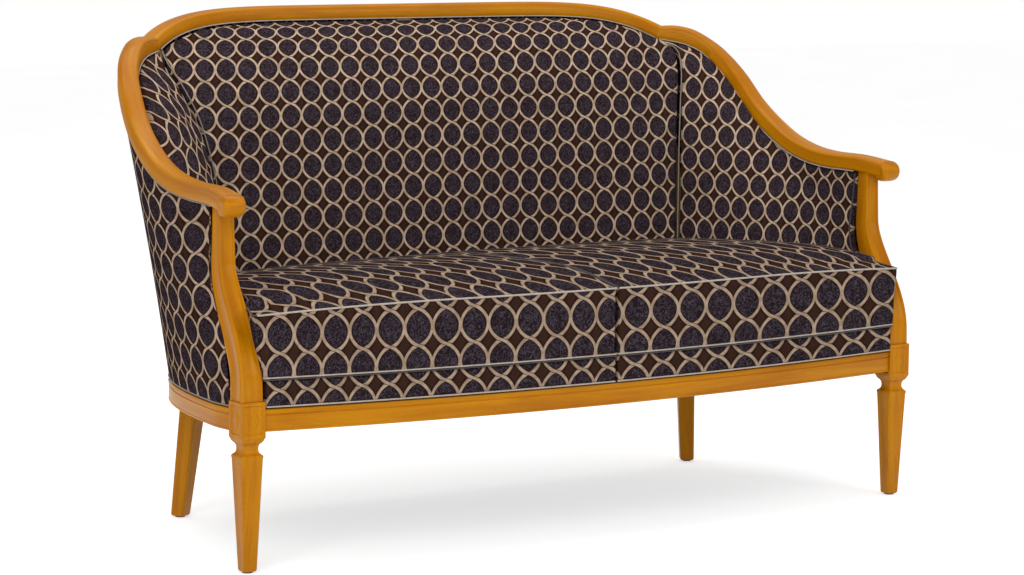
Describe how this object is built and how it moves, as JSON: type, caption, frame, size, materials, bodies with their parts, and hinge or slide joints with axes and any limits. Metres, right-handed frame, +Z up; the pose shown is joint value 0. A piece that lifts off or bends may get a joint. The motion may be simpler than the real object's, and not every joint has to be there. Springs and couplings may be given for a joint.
{
  "type": "high back settee",
  "caption": "High back settee with a show-wood frame, wavy arms ending in scrolls, an arched crest rail, a padded back and wings, and a bowed seat with loose cushions.",
  "frame": {"origin": "on the floor, at the centre of the settee's footprint", "axes": "+Z up, +X towards the right arm as the viewer in front sees it, the sitter looks along -Y"},
  "size_m": [1.5468, 0.813, 0.981],
  "materials": {
    "show_wood": "honey beech under clear gloss lacquer",
    "inner_wood": "sawn, unfinished",
    "jacquard": "woven jacquard, tan interlaced bands on dark aubergine",
    "webbing": "woven jute",
    "dust_cloth": "matt non-woven",
    "glide": "satin"
  },
  "bodies": {
    "root": {"front_leg_right": "show_wood", "front_leg_left": "show_wood", "rear_leg_right": "show_wood", "rear_leg_left": "show_wood", "front_glide_right": "glide", "front_glide_left": "glide", "rear_glide_right": "glide", "rear_glide_left": "glide", "arm_post_right": "show_wood", "arm_post_left": "show_wood", "arm_rail_right": "show_wood", "arm_rail_left": "show_wood", "crest_rail": "show_wood", "front_rail": "show_wood", "side_rail_right": "show_wood", "side_rail_left": "show_wood", "back_rail": "show_wood", "seat_stretcher": "inner_wood", "front_corner_block_right": "inner_wood", "front_corner_block_left": "inner_wood", "rear_corner_block_right": "inner_wood", "rear_corner_block_left": "inner_wood", "back_stile_right": "inner_wood", "back_stile_left": "inner_wood", "back_stile_middle": "inner_wood", "tack_rail_right": "inner_wood", "tack_rail_left": "inner_wood", "seat_webbing": "webbing", "dust_cover": "dust_cloth", "seat_base_right": "jacquard", "seat_base_left": "jacquard", "seat_cushion_right": "jacquard", "seat_cushion_left": "jacquard", "back_pad": "jacquard", "wing_pad_right": "jacquard", "wing_pad_left": "jacquard", "outer_side_cover_right": "jacquard", "outer_side_cover_left": "jacquard", "outer_back_cover": "jacquard"}
  },
  "joints": []
}
